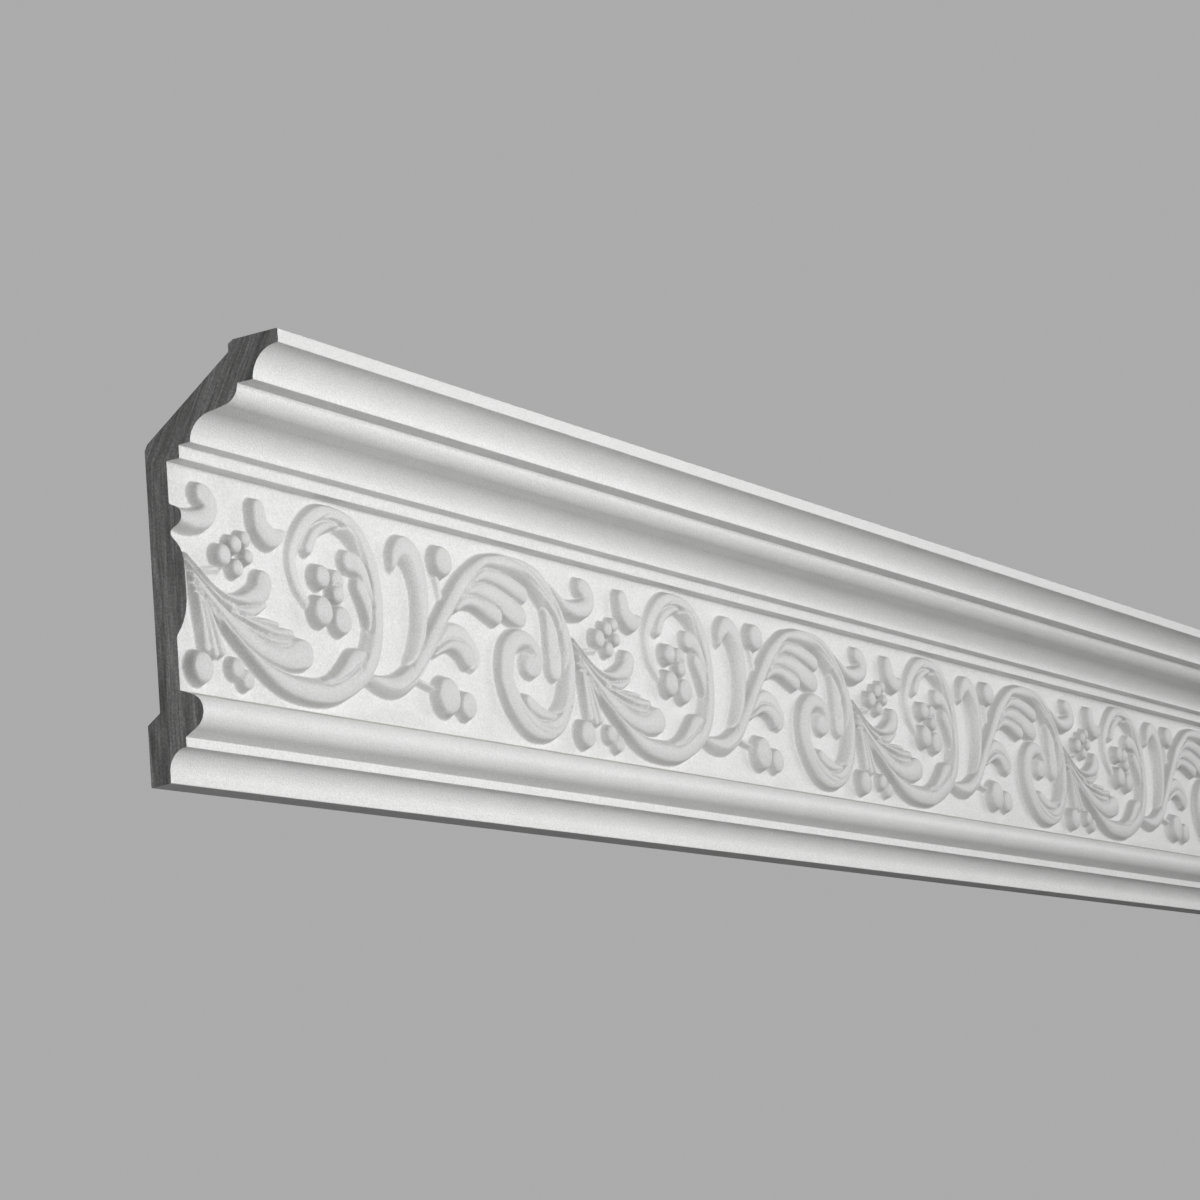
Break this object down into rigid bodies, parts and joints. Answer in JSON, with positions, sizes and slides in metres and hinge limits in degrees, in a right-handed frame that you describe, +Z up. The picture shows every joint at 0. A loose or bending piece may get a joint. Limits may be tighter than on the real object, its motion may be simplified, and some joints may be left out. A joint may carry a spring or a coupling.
{
  "type": "crown moulding",
  "caption": "Straight run of crown moulding with stepped coves and a frieze of scrolling leaves and berries in low relief.",
  "frame": {"origin": "middle of the strip that bears on the wall, half way along the run", "axes": "+X along the run to the right as seen from the room, +Y into the wall, +Z up to the ceiling"},
  "size_m": [0.96, 0.0611, 0.1398],
  "materials": {
    "cast_white": "primed, matt, very fine grain",
    "cut_foam": "sawn dense foam, dull, faintly streaked"
  },
  "bodies": {
    "root": {"crown_moulding": "cast_white"}
  },
  "joints": []
}
